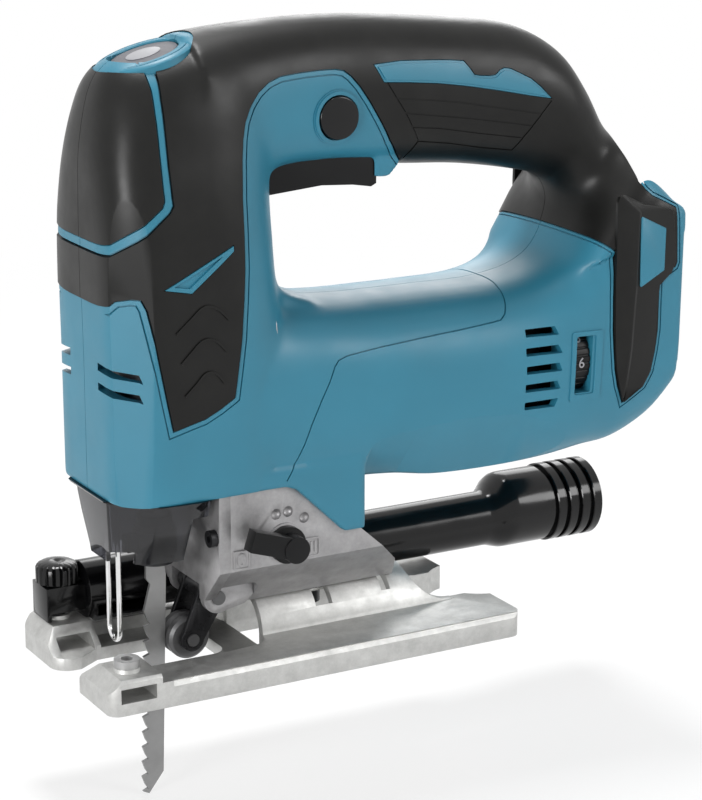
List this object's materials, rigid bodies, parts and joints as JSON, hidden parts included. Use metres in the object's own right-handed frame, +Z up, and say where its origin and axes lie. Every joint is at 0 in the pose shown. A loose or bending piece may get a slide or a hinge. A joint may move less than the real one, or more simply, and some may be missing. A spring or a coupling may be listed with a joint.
{
  "type": "cordless jigsaw",
  "caption": "Cordless D-handle jigsaw without battery: moulded shell with rubber grip, cast gear case, tilting cast sole, blade, chip cover and dust nozzle.",
  "frame": {"origin": "centre of the flat underside of the sole", "axes": "+Z up, out of the sole; -X towards the blade end, +X towards the battery end; -Y is the tool's left side, +Y the side of the dust nozzle"},
  "size_m": [0.235, 0.0804, 0.265],
  "materials": {
    "cast_alloy": "fine cast grain, satin",
    "shell_blue": "fine moulded texture",
    "rubber_black": "matt, soft",
    "black_plastic": "semi-matt",
    "gloss_black": "semi-gloss",
    "clear_grey": "smoky clear",
    "clear_lens": "clear",
    "dark_steel": "blackened",
    "ground_steel": "ground",
    "bright_steel": "polished",
    "blade_steel": "satin grey",
    "bronze": "sintered",
    "copper": "enamelled wire",
    "contact_brass": "plated",
    "board_green": "solder mask",
    "button_grey": "satin silver"
  },
  "bodies": {
    "sole": {"base_plate": "cast_alloy", "fence_screw": "ground_steel", "dust_nozzle": "gloss_black"},
    "thumb_screw": {"nozzle_screw": "gloss_black"},
    "tool": {"housing_left": "shell_blue", "housing_right": "shell_blue", "grip_left": "rubber_black", "grip_right": "rubber_black", "bumper_left": "rubber_black", "bumper_right": "rubber_black", "housing_screws": "dark_steel", "gear_case": "cast_alloy", "case_cover": "cast_alloy", "case_screws": "dark_steel", "rod_guides": "bronze", "gear_shaft": "ground_steel", "retainer_pin": "ground_steel", "finger_guard": "bright_steel", "lamp_lens": "clear_lens", "stator": "dark_steel", "windings": "copper", "bearing_front": "ground_steel", "bearing_rear": "ground_steel", "controller": "black_plastic", "dial_board": "board_green", "terminal_block": "black_plastic", "terminal_blades": "contact_brass", "power_board": "board_green", "switch_body": "black_plastic", "base_clamp_plate": "dark_steel", "base_clamp_bolt": "dark_steel", "trigger_spring": "bright_steel"},
    "plunger": {"plunger_rod": "ground_steel", "yoke": "dark_steel", "blade_clamp": "dark_steel", "blade": "blade_steel"},
    "gear": {"drive_gear": "dark_steel"},
    "crank": {"crank_roller": "ground_steel"},
    "rotor": {"rotor": "ground_steel", "pinion": "dark_steel", "fan": "black_plastic"},
    "retainer": {"retainer_arm": "dark_steel", "roller_pin": "ground_steel"},
    "back_roller": {"roller": "ground_steel"},
    "cover": {"chip_cover": "clear_grey"},
    "orbit": {"orbit_lever": "black_plastic", "orbit_cam": "dark_steel"},
    "dial": {"speed_dial": "black_plastic"},
    "power": {"power_button": "button_grey"},
    "lock": {"lock_button": "black_plastic"},
    "pull": {"trigger": "black_plastic"}
  },
  "joints": [
    {"name": "bevel_tilt", "type": "hinge", "parent": "sole", "child": "tool", "pos_m": [0, 0, 0.008], "axis": [1, 0, 0], "range_deg": [0, 45]},
    {"name": "thumb_screw_turn", "type": "hinge", "parent": "sole", "child": "thumb_screw", "pos_m": [-0.069, 0.029, 0], "axis": [0, 0, 1], "continuous": true},
    {"name": "plunger_stroke", "type": "slide", "parent": "tool", "child": "plunger", "axis": [0, 0, 1], "range_m": [-0.013, 0.013]},
    {"name": "gear_spin", "type": "hinge", "parent": "tool", "child": "gear", "pos_m": [0, 0, 0.114], "axis": [1, 0, 0], "continuous": true},
    {"name": "crank_roller_spin", "type": "hinge", "parent": "gear", "child": "crank", "pos_m": [0, 0.013, 0.114], "axis": [1, 0, 0], "continuous": true},
    {"name": "rotor_spin", "type": "hinge", "parent": "tool", "child": "rotor", "pos_m": [0, 0, 0.086], "axis": [1, 0, 0], "continuous": true},
    {"name": "retainer_swing", "type": "hinge", "parent": "tool", "child": "retainer", "pos_m": [-0.028, 0, 0.0249], "axis": [0, 1, 0], "range_deg": [-6, 0]},
    {"name": "roller_spin", "type": "hinge", "parent": "retainer", "child": "back_roller", "pos_m": [-0.0345, 0, 0.0086], "axis": [0, 1, 0], "continuous": true},
    {"name": "cover_slide", "type": "slide", "parent": "tool", "child": "cover", "axis": [0, 0, 1], "range_m": [-0.02, 0]},
    {"name": "orbit_turn", "type": "hinge", "parent": "tool", "child": "orbit", "pos_m": [-0.0096, 0, 0.0456], "axis": [0, 1, 0], "range_deg": [-20, 108]},
    {"name": "dial_turn", "type": "hinge", "parent": "tool", "child": "dial", "pos_m": [0.1038, -0.0224, 0.0955], "axis": [1, 0, 0], "range_deg": [-280, 0]},
    {"name": "power_press", "type": "slide", "parent": "tool", "child": "power", "axis": [0.2924, 0, -0.9563], "range_m": [0, 0.001], "stiffness_N_per_m": 900, "springref_m": -0.0005},
    {"name": "lock_slide", "type": "slide", "parent": "tool", "child": "lock", "axis": [0, 1, 0], "range_m": [-0.003, 0.003]},
    {"name": "trigger_pull", "type": "hinge", "parent": "tool", "child": "pull", "pos_m": [0.031, 0, 0.175], "axis": [0, 1, 0], "range_deg": [0, 6], "stiffness_Nm_per_rad": 0.6, "springref_deg": -4.58, "deforming": ["trigger_spring"]}
  ],
  "couplings": [
    {"joint": "rotor_spin", "follows": "gear_spin", "ratio": -4.6}
  ]
}
